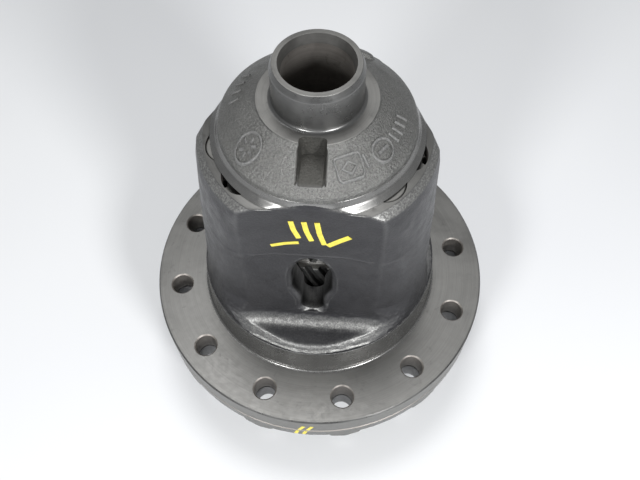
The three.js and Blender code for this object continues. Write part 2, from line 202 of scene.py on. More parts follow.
def cast_iron(name, dark, light, roughness, grain, painted_highlight=PAINTED_HIGHLIGHT, slant=(0.5, 0.97), level_share=1.0):
    """Sand-cast iron: a fine grain, pits, slow changes of tone, worn edges with a painted edge highlight,
    and a painted highlight on upper faces.

    A face gets a painted highlight as its normal's Z runs through slant; a level one keeps level_share of
    that.
    """
    n = Nodes(name)
    here = n.position()
    patches = n.noise(here, 26, 4)
    speckle = n.noise(here, 0.9, 3, 0.75)
    tone = n.ramp(patches, (0.3, dark), (0.7, light))
    tone = n.mix(n.span(speckle, 0.4, 0.68, 0.0, 0.3 * grain + 0.1), tone, tuple(c * 2 for c in light))
    stains = n.span(n.noise(here, 14, 5, 0.6, 0.8), 0.5, 0.72, 0.0, 0.4)
    tone = n.mix(stains, tone, tuple(c * 0.55 for c in dark))
    # Faces that lean up are brightened as a painted highlight, strongest as the normal's Z runs through
    # slant, broken up by the speckle as painted glints.
    upward = n.add("SeparateXYZ", Vector=n.add("TexCoord").outputs["Normal"]).outputs["Z"]
    glints = n.span(speckle, 0.42, 0.66, 0.35, 1.0)
    slanting = n.math("MULTIPLY", n.span(upward, *slant, 0, 1), n.span(upward, 0.86, 0.97, 1, level_share))
    tone = n.mix(n.math("MULTIPLY", slanting, glints), tone, painted_highlight)
    # Convex edges are brightened: worn edges plus a painted edge highlight.
    tone = n.mix(n.math("MULTIPLY", n.edges(0.504, 0.545), 0.45), tone, WORN_AND_LIT_EDGE)
    rough = n.span(n.noise(here, 8, 4), 0.3, 0.7, roughness - 0.07, roughness + 0.09)
    pits = n.add("TexVoronoi", {"feature": "SMOOTH_F1"}, Vector=here, Scale=0.75).outputs["Distance"]
    normal = n.bump(n.noise(here, 9, 2), 0.35, 0.5)
    normal = n.bump(pits, 0.3 * grain, 0.5, normal)
    normal = n.bump(speckle, 0.6 * grain, 0.5, normal)
    return n.finish(tone, rough, normal, metallic=0.55)


def turned_metal(name, tone, roughness, feed=0.45, smudge=0.5, strength=0.25):
    """Turned metal: fine rings about Z, faint smudges and stains."""
    n = Nodes(name)
    here = n.position()
    x, y, z = n.add("SeparateXYZ", Vector=here).outputs
    radius = n.math("SQRT", n.math("ADD", n.math("MULTIPLY", x, x), n.math("MULTIPLY", y, y)))
    along = n.add("CombineXYZ", X=radius, Y=z).outputs[0]
    drift = n.math("MULTIPLY", n.math("ADD", n.math("MULTIPLY", x, 0.7), y), 0.012)
    marks = {"Vector": along, "W": drift, "Scale": 1 / feed, "Detail": 3.0}
    rings = n.add("TexNoise", {"noise_dimensions": "4D"}, **marks).outputs["Fac"]
    blotches = n.noise(here, 19, 5, 0.6, 0.6)
    small = n.noise(here, 3.5, 4, 0.6)
    colour = n.ramp(blotches, (0.28, tuple(c * 0.8 for c in tone)), (0.6, tone))
    fine = n.span(rings, 0.3, 0.7, 0.9, 1.08)
    grey = n.add("CombineColor", Red=fine, Green=fine, Blue=fine).outputs[0]
    colour = n.mix(1.0, colour, grey, "MULTIPLY")
    dirt = n.span(n.noise(here, 7, 6, 0.65, 1.2), 0.6, 0.75, 0.0, smudge)
    colour = n.mix(dirt, colour, tuple(c * 0.32 for c in tone))
    uneven = n.math("ADD", n.math("MULTIPLY", blotches, 0.6), n.math("MULTIPLY", small, 0.4))
    rough = n.span(uneven, 0.3, 0.7, roughness - 0.06, roughness + 0.1)
    normal = n.bump(rings, strength, 0.05)
    normal = n.bump(small, 0.06, 0.1, normal)
    return n.finish(colour, rough, normal, metallic=0.85)


def cut_steel(name, tone, roughness, oil=0.35):
    """Cut or ground steel on a small piece: fine cutter marks, a film of oil and bright edges."""
    n = Nodes(name)
    here = n.position()
    marks = n.noise(n.add("Mapping", Vector=here, Scale=(1, 1, 5)).outputs[0], 0.8, 2)
    film = n.noise(here, 9, 4, 0.6, 0.7)
    colour = n.ramp(film, (0.3, tuple(c * 0.7 for c in tone)), (0.7, tone))
    # Convex edges and tooth tips are brightened: partly real wear, partly a painted edge highlight.
    colour = n.mix(n.math("MULTIPLY", n.edges(0.53, 0.6), 0.5), colour, tuple(c * 2.2 for c in tone))
    rough = n.span(film, 0.35, 0.7, roughness - 0.06, roughness + 0.12)
    normal = n.bump(marks, 0.2, 0.06)
    return n.finish(colour, rough, normal, Coat_Weight=oil, Coat_Roughness=0.2)


def paint(name, colour):
    """Brushed-on marking paint with darker streaks."""
    n = Nodes(name)
    here = n.position()
    streaks = n.noise(here, 2.2, 5, 0.7)
    tone = n.ramp(streaks, (0.3, tuple(c * 0.72 for c in colour)), (0.62, colour))
    normal = n.bump(n.noise(here, 0.8, 3), 0.35, 0.12)
    return n.finish(tone, n.span(streaks, 0.3, 0.7, 0.35, 0.6), normal, metallic=0.0)


# The body is a darkened copy of the cast iron: painted shade on the upright walls, which face away from
# the lamps overhead.
CAST_BODY = cast_iron(
    "cast_body", (0.024, 0.024, 0.027), (0.04, 0.04, 0.043), 0.38, 0.45,
    painted_highlight=(0.27, 0.27, 0.26), slant=(0.25, 0.7), level_share=0.1,
)
# The dome, cast marks and pad take a lighter copy of the same cast iron: a painted highlight for the
# upward-facing top.
CAST_DOME_LIT = cast_iron("cast_dome_lit", (0.075, 0.075, 0.072), (0.13, 0.13, 0.124), 0.36, 1.7)
# A darker copy of the cast iron for the dome's recess: painted shade.
CAST_RECESS_SHADE = cast_iron(
    "cast_recess_shade", (0.05, 0.05, 0.046), (0.085, 0.083, 0.076), 0.5, 1.2, painted_highlight=(0.09, 0.088, 0.08)
)
# Near-black iron for the windows' inside walls: painted shade.
WINDOW_SHADE = cast_iron(
    "window_shade_iron", (0.007, 0.007, 0.007), (0.014, 0.014, 0.014), 0.5, 0.8, painted_highlight=(0.06, 0.06, 0.058)
)
CAST_COVER = cast_iron("cast_cover", (0.07, 0.07, 0.072), (0.11, 0.11, 0.11), 0.52, 1.0)
TURNED = turned_metal("turned_iron", (0.2, 0.198, 0.19), 0.4)
GROUND = turned_metal("ground_iron", (0.17, 0.17, 0.167), 0.28, feed=0.25, smudge=0.15, strength=0.12)
# A lighter copy of the ground finish for the pilot and the ring under the dome: a painted highlight.
GROUND_LIT = turned_metal("ground_iron_lit", (0.25, 0.248, 0.242), 0.24, feed=0.25, smudge=0.15, strength=0.12)
BORED = turned_metal("bored_iron", (0.3, 0.28, 0.26), 0.5, feed=0.6, smudge=0.7)
# The gears' dark tones are partly painted shade, for the teeth seen inside the case through the windows.
GEAR_STEEL = cut_steel("gear_steel", (0.08, 0.08, 0.078), 0.5, oil=0.05)
PLANET_STEEL = cut_steel("planet_steel", (0.05, 0.05, 0.049), 0.52, oil=0.05)
PLANET_END = turned_metal("planet_end_steel", (0.17, 0.168, 0.16), 0.42, feed=0.3)
WASHER_STEEL = turned_metal("washer_steel", (0.4, 0.39, 0.37), 0.3, feed=0.3)
SCREW_STEEL = cut_steel("black_oxide", (0.035, 0.035, 0.037), 0.45)
PIN_STEEL = cut_steel("pin_steel", (0.5, 0.5, 0.5), 0.22)
YELLOW = paint("marking_paint", (0.78, 0.66, 0.08))

# Each list's places are those of the names below it.
CASE_LOOKS = [CAST_BODY, CAST_DOME_LIT, TURNED, GROUND, BORED, CAST_RECESS_SHADE, GROUND_LIT, WINDOW_SHADE]
BODY, DOME, TURN, GRIND, BORE_CUT, RECESS_SHADE, GRIND_LIT, SHADED_INSIDE = range(8)

# ---- Mesh tools ----


def polar(radius, degrees, z=0.0):
    angle = math.radians(degrees)
    return Vector((radius * math.cos(angle), radius * math.sin(angle), z))


def around(count, first=0.0):
    return [first + i * 360 / count for i in range(count)]


def add_object(name, data):
    item = bpy.data.objects.new(name, data)
    bpy.context.scene.collection.objects.link(item)
    return item


def make_mesh(name, points, faces, looks, face_looks):
    mesh = bpy.data.meshes.new(name)
    mesh.from_pydata([Vector(p) * MM for p in points], [], faces)
    for look in looks:
        mesh.materials.append(look)
    mesh.polygons.foreach_set("material_index", face_looks)
    mesh.update()
    return add_object(name, mesh)


def loft(name, rings, looks, ring_looks=None, closed=False):
    """A closed solid through rings of points that run anticlockwise about +Z from the bottom up.

    A ring's look is one look or a list of them, for the faces above each of its points. Without any
    the first is used. With closed, the last ring joins the first one. Otherwise both ends are capped.
    """
    count = len(rings[0])
    per_ring = ring_looks or [0] * len(rings)
    per_face = [look if isinstance(look, list) else [look] * count for look in per_ring]
    points = [p for ring in rings for p in ring]
    faces, face_looks = [], []
    spans = len(rings) if closed else len(rings) - 1
    for i in range(spans):
        low, high = i * count, ((i + 1) % len(rings)) * count
        for j in range(count):
            k = (j + 1) % count
            faces.append((low + j, low + k, high + k, high + j))
            face_looks.append(per_face[i][j])
    if not closed:
        faces.append(tuple(range(count - 1, -1, -1)))
        faces.append(tuple(range((len(rings) - 1) * count, len(rings) * count)))
        face_looks += [per_face[0][0], per_face[-1][0]]
    return make_mesh(name, points, faces, looks, face_looks)


GUARD = 0.35
TINY = 1e-6  # a radius or a gap smaller than this is none


def rounded(outline, step=15.0):
    """An outline of (r, z, look, fillet) corners with an arc in place of each filleted corner.

    A guard point beside each arc keeps the wear and painted edge highlight that follow an edge from
    spreading over a flat.
    """
    result = []
    for i, (r, z, look, fillet) in enumerate(outline):
        here = Vector((r, z))
        into = here - Vector(outline[i - 1][:2])
        out = Vector(outline[(i + 1) % len(outline)][:2]) - here
        if not fillet:
            result.append((r, z, look))
            continue
        sweep = into.angle(out)
        side = 1 if into.cross(out) > 0 else -1
        reach = min(fillet * math.tan(sweep / 2), into.length * 0.49, out.length * 0.49)
        radius = reach / math.tan(sweep / 2)
        heading = into.normalized()
        start = here - heading * reach
        middle = start + Vector((-heading.y, heading.x)) * side * radius
        steps = max(1, math.ceil(math.degrees(sweep) / step))
        before, after = into.length * 0.5 - reach, out.length * 0.5 - reach
        if before > GUARD:
            result.append((*(start - heading * GUARD), outline[i - 1][2]))
        for s in range(steps + 1):
            arm = Matrix.Rotation(side * sweep * s / steps, 2) @ (start - middle)
            result.append((middle.x + arm.x, middle.y + arm.y, look))
        if after > GUARD:
            result.append((*(here + out.normalized() * (reach + GUARD)), look))
    return result


def lathe(name, outline, looks, segments, at=(0.0, 0.0)):
    """A body turned about Z from an anticlockwise (r, z, look, fillet) outline.

    An outline that starts on the axis ends there too, with flat ends. Any other closes on itself.
    """
    profile = [p for p in rounded(outline) if p[0] > TINY]
    rings = [[polar(r, a, z) + Vector((*at, 0)) for a in around(segments)] for r, z, _ in profile]
    return loft(name, rings, looks, [look for _, _, look in profile], closed=outline[0][0] > TINY)


def join(name, pieces):
    """One object out of several that share their looks."""
    points, faces, looks = [], [], []
    for piece in pieces:
        offset = len(points)
        points += [v.co / MM for v in piece.data.vertices]
        for polygon in piece.data.polygons:
            faces.append(tuple(v + offset for v in polygon.vertices))
            looks.append(polygon.material_index)
    materials = list(pieces[0].data.materials)
    for piece in pieces:
        bpy.data.objects.remove(piece, do_unlink=True)
    return make_mesh(name, points, faces, materials, looks)


def combine(piece, tool, operation="DIFFERENCE"):
    """Cuts, joins or intersects a piece with a tool, which is used up."""
    modifier = piece.modifiers.new("combine", "BOOLEAN")
    modifier.object = tool
    modifier.operation = operation
    modifier.solver = "MANIFOLD"
    evaluated = piece.evaluated_get(bpy.context.evaluated_depsgraph_get())
    mesh = bpy.data.meshes.new_from_object(evaluated)
    piece.modifiers.clear()
    piece.data = mesh
    bpy.data.objects.remove(tool, do_unlink=True)
    return piece


def place(piece, body, slot, *nodes, sharp=28):
    """Hands a finished piece to the frame, shaded smooth except at edges sharper than this angle."""
    mesh = piece.data
    mesh.polygons.foreach_set("use_smooth", [True] * len(mesh.polygons))
    mesh.set_sharp_from_angle(angle=math.radians(sharp))
    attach(piece, body)
    if nodes:
        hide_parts(*nodes)


# ---- Camera ----

CAMERA_HEIGHT = FLANGE_TOP + 428.0
CAMERA_BACK = 232.7
PITCH, YAW, ROLL = 59.42, -0.11, -0.56
FOCAL_PIXELS, IMAGE_WIDTH, SENSOR = 700.6, 640, 36.0


def make_camera():
    data = bpy.data.cameras.new("camera")
    data.sensor_width = SENSOR
    data.lens = FOCAL_PIXELS * SENSOR / IMAGE_WIDTH
    data.clip_start = 0.01
    camera = add_object("camera", data)
    turn = Matrix.Identity(4)
    for degrees, axis in ((YAW, "Z"), (90 - PITCH, "X"), (ROLL, "Z")):
        turn = turn @ Matrix.Rotation(math.radians(degrees), 4, axis)
    camera.matrix_world = Matrix.Translation(Vector((0, -CAMERA_BACK, CAMERA_HEIGHT)) * MM) @ turn
    bpy.context.scene.camera = camera


make_camera()

# ---- The case ----


def smooth_step(value, low, high):
    """0 up to low and 1 from high on, with a smooth rise between them."""
    share = min(1, max(0, (value - low) / (high - low)))
    return share * share * (3 - 2 * share)


def soft_min(a, b, blend):
    """The smaller of two distances, rounded off where they differ by less than the blend."""
    overlap = max(blend - abs(a - b), 0) / blend
    return min(a, b) - overlap * overlap * blend / 4


def from_face(degrees):
    """The angle in degrees to the middle of the nearest cast face."""
    return min(abs((degrees - face + 180) % 360 - 180) for face in FACE_AZIMUTHS)


def drafted(flat, z):
    """The distance from the axis of a flat, which leans out towards its foot."""
    return flat + DRAFT * (ANNULUS - z) / (ANNULUS - COVE_TOP)


def round_wall(z):
    """The drafted round wall's radius."""
    return WALL_FOOT + (WALL_TOP - WALL_FOOT) * (z - PILOT_Z) / (WALL_TOP_Z - PILOT_Z)


CLEAR_OF_WALL = WALL_FOOT + 20


def along_profile(foot, z, flat):
    """A flat's distance from the axis: nearly upright, and curving out to a shelf at its foot.

    Below that foot it stands clear of the wall and takes nothing off.
    """
    if z >= COVE_TOP:
        return drafted(flat, z)
    for (d0, z0), (d1, z1) in zip(foot, foot[1:]):
        if z1 >= z >= z0:
            return d0 + (d1 - d0) * (z - z0) / (z1 - z0)
    return CLEAR_OF_WALL


# How softly cast surfaces meet: at the top, and how much more towards the cove and then beside it.
CRISP, FLANK_EASE, FACE_EASE, COVE_EASE = 0.5, 5, 0.5, 2
COVE_EASED = (9, 17)  # the depths below the cove's top between which its ease comes in


def wall_radius(degrees, z):
    """The cast body's radius: a drafted round wall, eased by flanks to the edges of three faces."""
    angle = math.radians(from_face(degrees))
    beside = angle - math.radians(FLANK_TURN)
    low = min(1, max(0, (WALL_TOP_Z - z) / (WALL_TOP_Z - COVE_TOP)))
    flank = along_profile(FLANK_FOOT, z, FLANK) / math.cos(beside)
    wall = soft_min(round_wall(z), flank, CRISP + FLANK_EASE * low)
    edge = CRISP + FACE_EASE * low + COVE_EASE * smooth_step(COVE_TOP - z, *COVE_EASED)
    return soft_min(wall, along_profile(FACE_FOOT, z, FACE) / math.cos(angle), edge)


def resampled(outline, count):
    """Evenly spaced points along an open outline."""
    points = [Vector(p[:2]) for p in outline]
    lengths = [0.0]
    for a, b in zip(points, points[1:]):
        lengths.append(lengths[-1] + (b - a).length)
    result, k = [], 0
    for i in range(count):
        target = lengths[-1] * i / (count - 1)
        while k < len(points) - 2 and lengths[k + 1] < target:
            k += 1
        share = (target - lengths[k]) / (lengths[k + 1] - lengths[k])
        result.append(points[k].lerp(points[k + 1], share))
    return result


def foot_profile(corners):
    """A flat's foot as evenly spaced (distance, z) points, from (distance, z, fillet) corners."""
    outline = rounded([(d, z, 0, fillet) for d, z, fillet in corners])
    return [(p.x, p.y) for p in resampled(outline, 40)]


FACE_FOOT = foot_profile([
    (WALL_FOOT + 4, PILOT_Z - 0.4, 0),
    (73.8, PILOT_Z + 0.8, 1.2),
    (71.6, FLANGE_TOP + 26.8, 5),
    (FACE + DRAFT + 0.3, FLANGE_TOP + 30.6, 13),
    (FACE + DRAFT, COVE_TOP, 0),
])
FLANK_FOOT = foot_profile([
    (WALL_FOOT + 4, PILOT_Z - 0.4, 0),
    (74, PILOT_Z + 0.8, 3),
    (FLANK + DRAFT + 3.5, FLANGE_TOP + 31, 16),
    (FLANK + DRAFT, COVE_TOP, 0),
])


def ripple(point, size, height):
    """The slight unevenness of a casting."""
    return height * noise.noise(point / size)


CROWN_FOOT = WALL_TOP_Z - 10
# The pilot takes the lighter copy of the ground finish, a painted highlight.
FOOT_OUTLINE = [
    (0, JOINT, TURN, 0),
    (RIM - 1.2, JOINT, TURN, 0.2),
    (RIM, JOINT + 1.2, TURN, 0.2),
    (RIM, FLANGE_TOP - 0.9, GRIND, 0.25),
    (RIM - 0.9, FLANGE_TOP, TURN, 0.25),
    (PILOT_FOOT, FLANGE_TOP, GRIND_LIT, 1.3),
    (PILOT_TOP, PILOT_Z, BODY, 0.25),
    (0, PILOT_Z, BODY, 0),
]
# From the cast wall's upper edge over the turned bands and the dome to the hub's end.
# The dome rows take the lighter copy of the cast iron and the ring band the lighter copy of the ground
# finish: painted highlights.
CROWN = rounded([
    (WALL_TOP + 0.4, CROWN_FOOT, BODY, 0),
    (WALL_TOP - 0.2, WALL_TOP_Z, BODY, 1.4),
    (59.6, ANNULUS - 1.3, BODY, 0.5),
    (59.4, ANNULUS - 0.9, TURN, 0.2),
    (55.9, ANNULUS - 0.1, TURN, 0.2),
    (55.6, ANNULUS + 0.5, GRIND_LIT, 0.4),
    (52.6, ANNULUS + 3.0, GRIND_LIT, 3.5),
    (51.1, ANNULUS + 6.3, GRIND_LIT, 0.3),
    (50.9, DOME_RIM - 0.9, DOME, 0.5),
    (50.6, DOME_RIM + 1.6, DOME, 3.0),
    (41.5, DOME_RIM + 9.3, DOME, 30),
    (SHOULDER_R + 0.3, UPPER_SHOULDER - 0.8, DOME, 0.8),
    (SHOULDER_R, UPPER_SHOULDER, TURN, 0.25),
    (JOURNAL, UPPER_SHOULDER + 0.01, GRIND, JOURNAL_FILLET),
    (JOURNAL, TOP - HUB_CHAMFER, GRIND, 1.5),
    (21.2, TOP, TURN, 0.25),
    (0, TOP, TURN, 0),
])[1:-1]


def densely(profile, step):
    """The profile's points with more between them, so that none are further apart than a step."""
    result = []
    for (r0, z0, look), (r1, z1, _) in zip(profile, profile[1:]):
        count = max(1, math.ceil(math.hypot(r1 - r0, z1 - z0) / step))
        result += [(r0 + (r1 - r0) * i / count, z0 + (z1 - z0) * i / count, look) for i in range(count)]
    return [*result, profile[-1]]


def cast_point(degrees, z):
    """A point of the uneven cast wall, with its parting line, which dips between the faces."""
    line = PARTING - PARTING_DIP * smooth_step(from_face(degrees), 16, 40)
    flash = 0.3 * math.exp(-(((z - line) / 0.7) ** 2))
    point = polar(wall_radius(degrees, z), degrees, z)
    near_foot = 1 - smooth_step(z, COVE_TOP - 8, COVE_TOP)
    rough = ripple(point, 13, 0.16) + near_foot * ripple(point, 2.2, 0.3)
    return polar(point.xy.length + flash + rough, degrees, z)


def case_outside():
    """The casting: turned flange and pilot, faceted body, and turned bands, dome and hub above it."""
    angles = around(480)
    coarse, fine = 2.5, 0.25  # the wall's rings, and those across the parting line
    rings, looks = [], []
    for r, z, look in rounded(FOOT_OUTLINE)[1:-1]:
        rings.append([polar(r, a, z) for a in angles])
        looks.append(look)

    heights = [z for _, z in FACE_FOOT[2:-1]] + [PILOT_Z + 0.7, PILOT_Z + 1.1]
    heights += [COVE_TOP + coarse * i for i in range(23)]
    heights += [PARTING + fine * i for i in range(-12, 13)]
    heights += [PARTING + PARTING_DIP + coarse * i for i in range(11)]
    for z in sorted(heights):
        rings.append([cast_point(a, z) for a in angles])
        looks.append(BODY)

    blend, margin = 1.6, 0.2  # where the turned top meets the cast wall
    for r, z, look in densely(CROWN, 0.5):
        ring, ring_look = [], []
        for a in angles:
            reach = cast_point(a, z).xy.length
            ring.append(polar(soft_min(r, reach, blend) if r > SHOULDER_R + 5 else r, a, z))
            ring_look.append(BODY if reach < r + margin else look)
        rings.append(ring)
        looks.append(ring_look)
    return loft("case_body", rings, CASE_LOOKS, looks)


def bore_tool():
    outline = [
        (0, JOINT - PAST, BORE_CUT, 0),
        (SUN_CAVITY, JOINT - PAST, BORE_CUT, 0),
        (SUN_CAVITY, CEILING, BORE_CUT, 0.8),
        (HUB_CAVITY, CEILING, BORE_CUT, 0),
        (HUB_CAVITY, CEILING + HUB_DEPTH, BORE_CUT, 0),
        (BORE, CEILING + HUB_DEPTH, BORE_CUT, 0.4),
        (BORE, TOP - MOUTH_DEPTH, TURN, 0.3),
        (MOUTH, TOP, TURN, 0.2),
        (MOUTH + PAST, TOP + PAST, TURN, 0),
        (0, TOP + PAST, TURN, 0),
    ]
    return lathe("bore_tool", outline, CASE_LOOKS, 180)


def bored(corners, segments, at):
    """A tool that leaves a bored hole, from its (r, z) corners."""
    return lathe("tool", [(r, z, BORE_CUT, 0) for r, z in corners], CASE_LOOKS, segments, at)


def pocket_tools():
    """The planets' pockets, which break out through the ring round the dome."""
    low, high = JOINT - PAST, POCKET_TOP
    corners = [(0, low), (POCKET_R, low), (POCKET_R, high), (0, high)]
    tools = []
    for pair in around(3):
        for side in "ab":
            radius, azimuth = joint_axis(f"planet_1{side}_spin")
            at = polar(radius, math.degrees(azimuth) + pair)
            tools.append(bored(corners, 96, at.xy))
    return tools


def hole_tools(count, azimuth, radius, low, high, chamfer=0.0):
    """Holes on the bolt circle: right through with chamfers, or from below up to high without."""
    if chamfer:
        wide = radius + chamfer + PAST
        corners = [(0, low - PAST), (wide, low - PAST), (radius, low + chamfer)]
        corners += [(radius, high - chamfer), (wide, high + PAST), (0, high + PAST)]
    else:
        corners = [(0, low - PAST), (radius, low - PAST), (radius, low), (radius, high), (0, high)]
    return [bored(corners, 64, polar(BOLT_CIRCLE, a).xy) for a in around(count, azimuth)]


def flange_holes(bolts, screws, dowels):
    """One tool for the bolt, screw and dowel holes between these pairs of heights."""
    holes = hole_tools(BOLTS, BOLT_AZIMUTH, BOLT_R, *bolts, HOLE_CHAMFER)
    holes += hole_tools(SCREWS, SCREW_AZIMUTH, SCREW_HOLE, *screws)
    holes += hole_tools(DOWELS, DOWEL_AZIMUTH, DOWEL_HOLE, *dowels)
    return join("holes", holes)


# Heights above the flange, and half widths.
WINDOW_FOOT, WINDOW_BEND, WINDOW_SHOULDER, WINDOW_TOP = 40.7, (53, 70), 79, 101
NARROW, WIDE = 6.3, 11.0


def window_half_width(z):
    """Half the window's width at a height above the flange."""
    foot_centre = WINDOW_FOOT + NARROW
    if z < foot_centre:
        return math.sqrt(max(0, NARROW ** 2 - (foot_centre - z) ** 2))
    if z > WINDOW_SHOULDER:
        share = (z - WINDOW_SHOULDER) / (WINDOW_TOP - WINDOW_SHOULDER)
        return WIDE * math.sqrt(max(0, 1 - share**2))
    spread = smooth_step(z, *WINDOW_BEND)
    return NARROW + (WIDE - NARROW) * spread


def window_outline():
    """The window's outline as (sideways, up), anticlockwise as seen from outside."""
    middle = (WINDOW_FOOT + WINDOW_TOP) / 2
    half = (WINDOW_TOP - WINDOW_FOOT) / 2
    steps = 48
    heights = [middle - half * math.cos(math.pi * i / steps) for i in range(steps + 1)]
    right = [Vector((window_half_width(z), FLANGE_TOP + z)) for z in heights]
    left = [Vector((-p.x, p.y)) for p in reversed(right[1:-1])]
    return right + left


def grown(outline, by):
    """A closed outline moved outwards by a distance."""
    result = []
    for i, point in enumerate(outline):
        along = (outline[(i + 1) % len(outline)] - outline[i - 1]).normalized()
        result.append(point + Vector((along.y, -along.x)) * by)
    return result


def flare(depth, radius):
    """How far a rounded mouth stands out from its hole at a depth below the face."""
    if depth >= radius:
        return 0.0
    return radius - math.sqrt(radius**2 - (radius - depth) ** 2)


def mouth_levels(radius, steps):
    """The (depth, flare) of each ring of a rounded mouth, from its foot up to near the face."""
    depths = [radius * (1 - i / steps) for i in range(steps)]
    return [(depth, flare(depth, radius)) for depth in depths]


def window_tool(azimuth):
    """The cut for one oil window, with a broadly rounded mouth."""
    mouth, reach, skin, over = 4.2, 20, 0.12, 0.6
    turn = Matrix.Rotation(math.radians(azimuth), 3, "Z")
    outline = window_outline()
    levels = [(reach, 0.0), (mouth + 2, 0.0), *mouth_levels(mouth, 8)]
    levels += [(skin, flare(skin, mouth)), (-over, flare(skin, mouth) + over)]
    lowest = FLANGE_TOP + WINDOW_FOOT - 1  # the mouth ends above the cove
    rings = []
    for depth, by in levels:
        ring = [Vector((p.x, max(p.y, lowest))) for p in grown(outline, by)]
        rings.append([turn @ Vector((drafted(FACE, p.y) + 0.1 - depth, p.x, p.y)) for p in ring])
    deep = 6  # rings whose faces take the near-black iron, painted shade for the window's inside
    return loft("window_tool", rings, CASE_LOOKS, [SHADED_INSIDE] * deep + [BODY] * (len(rings) - deep))


def dome_height(radius):
    """The height of the case's top at a radius outside the hub."""
    for (r0, z0, _), (r1, z1, _) in zip(CROWN, CROWN[1:]):
        if r1 <= radius <= r0 and r0 > r1:
            return z0 + (z1 - z0) * (r0 - radius) / (r0 - r1)
    return CROWN_FOOT


RECESS_FLOOR = FLANGE_TOP + 160


def recess_tool(azimuth):
    """The cut for the dome's oil recess: level floor, round inner corners, softened mouth."""
    half, inner, corner, mouth = 6.75, 25.5, 2.8, 1.3
    outer = FACE + PAST
    corners = [(outer, -half, 0, 0), (outer, half, 0, 0)]
    corners += [(inner, half, 0, corner), (inner, -half, 0, corner)]
    outline = resampled([*rounded(corners, 12), corners[0]], 145)[:-1]
    spread = grown(outline, 1)
    turn = Matrix.Rotation(math.radians(azimuth), 3, "Z")
    depths = [(60, -1.2), (3, -0.1), *mouth_levels(mouth, 6), (-0.05, mouth), (-4, mouth + 0.5)]
    rings = []
    for i, (depth, by) in enumerate(depths):
        ring = []
        for p, q in zip(outline, spread):
            # The shoulder is turned after casting, so the mouth is sharp there.
            soft = smooth_step(p.length, SHOULDER_R + 0.5, SHOULDER_R + 3)
            there = p + (q - p) * by * (soft if by > 0 else 1)
            # On the level floor the rings stay a hair apart, and the second one eases its edge.
            floor = RECESS_FLOOR + 0.01 * i + (0.6 if i == 1 else 0)
            z = max(floor, dome_height(p.length) - depth)
            ring.append(turn @ Vector((there.x, there.y, z)))
        rings.append(ring)
    # The recess takes the darker copy of the cast iron: painted shade.
    return loft("recess_tool", rings, CASE_LOOKS, [RECESS_SHADE] * len(rings))


def make_case():
    piece = combine(case_outside(), bore_tool())
    for tool in pocket_tools():
        combine(piece, tool)
    for azimuth in FACE_AZIMUTHS:
        combine(piece, window_tool(azimuth))
    combine(piece, recess_tool(FACE_AZIMUTHS[0]))
    blind = (JOINT, JOINT + BLIND_DEPTH)
    combine(piece, flange_holes((JOINT, FLANGE_TOP), blind, blind))
    place(piece, "case", "case_iron", "case")


make_case()

# ---- The cover ----

COVER_LOOKS = [CAST_COVER, CAST_COVER, TURNED, GROUND, BORED]
BOSS_R, BOSS_FOOT = 15.9, 37.0  # of the pads round the bolt holes
COLLAR_R, COLLAR_TOP = 34.2, z_span("end_cover")[1]  # the collar inside the case
COLLAR_FLOOR = 65.5
UNDERSIDE = 41.0
SCREW_SEAT, COUNTERBORE = 46.5, 7.0


def cover_blank():
    outline = [
        (BORE, MOUTH_DEPTH, TURN, 0.3),
        (MOUTH, 0, TURN, 0.2),
        (21.3, 0, TURN, 0.5),
        (JOURNAL, HUB_CHAMFER, GRIND, 1.5),
        (JOURNAL, LOWER_SHOULDER, GRIND, JOURNAL_FILLET),
        (SHOULDER_R, LOWER_SHOULDER, TURN, 0.25),
        (32, 24, BODY, 1.5),
        (42, 31, BODY, 12),
        (62, 36.5, BODY, 40),
        (84, 39.5, BODY, 40),
        (103, UNDERSIDE + 0.2, BODY, 0.4),
        (103.4, UNDERSIDE + 1.2, TURN, 0.3),
        (RIM, UNDERSIDE + 3.2, TURN, 0.6),
        (RIM, JOINT - 1.3, GRIND, 0.25),
        (RIM - 1.5, JOINT - 0.1, TURN, 0.2),
        (COLLAR_R, JOINT, TURN, 0.8),
        (COLLAR_R, COLLAR_TOP, TURN, 0.4),
        (HUB_CAVITY, COLLAR_TOP, BORE_CUT, 0.4),
        (HUB_CAVITY, COLLAR_FLOOR, BORE_CUT, 0.3),
        (BORE, COLLAR_FLOOR, BORE_CUT, 0.4),
    ]
    return lathe("cover_body", outline, COVER_LOOKS, 240)


def boss_pads():
    """The pads round the bolt holes, each with a broad fillet into the cover."""
    steps = [(-0.9, 0), (-0.3, 0.3), (0, 0.9), (0, 2.2), (0.6, 3.2), (2.2, 4.6)]
    levels = [(BOSS_R + wider, BOSS_FOOT + up) for wider, up in steps] + [(BOSS_R + 3.5, JOINT - 3)]
    pads = []
    for azimuth in around(BOLTS, BOLT_AZIMUTH):
        at = polar(BOLT_CIRCLE, azimuth)
        rings = [[at + polar(r, a, z) for a in around(72)] for r, z in levels]
        pads.append(loft("pad", rings, COVER_LOOKS, [TURN] + [BODY] * (len(levels) - 1)))
    return join("pads", pads)


def make_cover():
    piece = combine(cover_blank(), boss_pads(), "UNION")
    rim = [(0, -PAST, TURN, 0), (RIM, -PAST, TURN, 0), (RIM, TOP, TURN, 0), (0, TOP, TURN, 0)]
    combine(piece, lathe("rim_cut", rim, COVER_LOOKS, 240), "INTERSECT")
    through = JOINT + PAST
    combine(piece, flange_holes((BOSS_FOOT, JOINT), (SCREW_SEAT, through), (SCREW_SEAT + PAST, through)))
    seats = hole_tools(SCREWS, SCREW_AZIMUTH, COUNTERBORE, UNDERSIDE, SCREW_SEAT)
    combine(piece, join("counterbores", seats))
    place(piece, "case", "cover_iron", "end_cover")


make_cover()

# ---- Gears ----

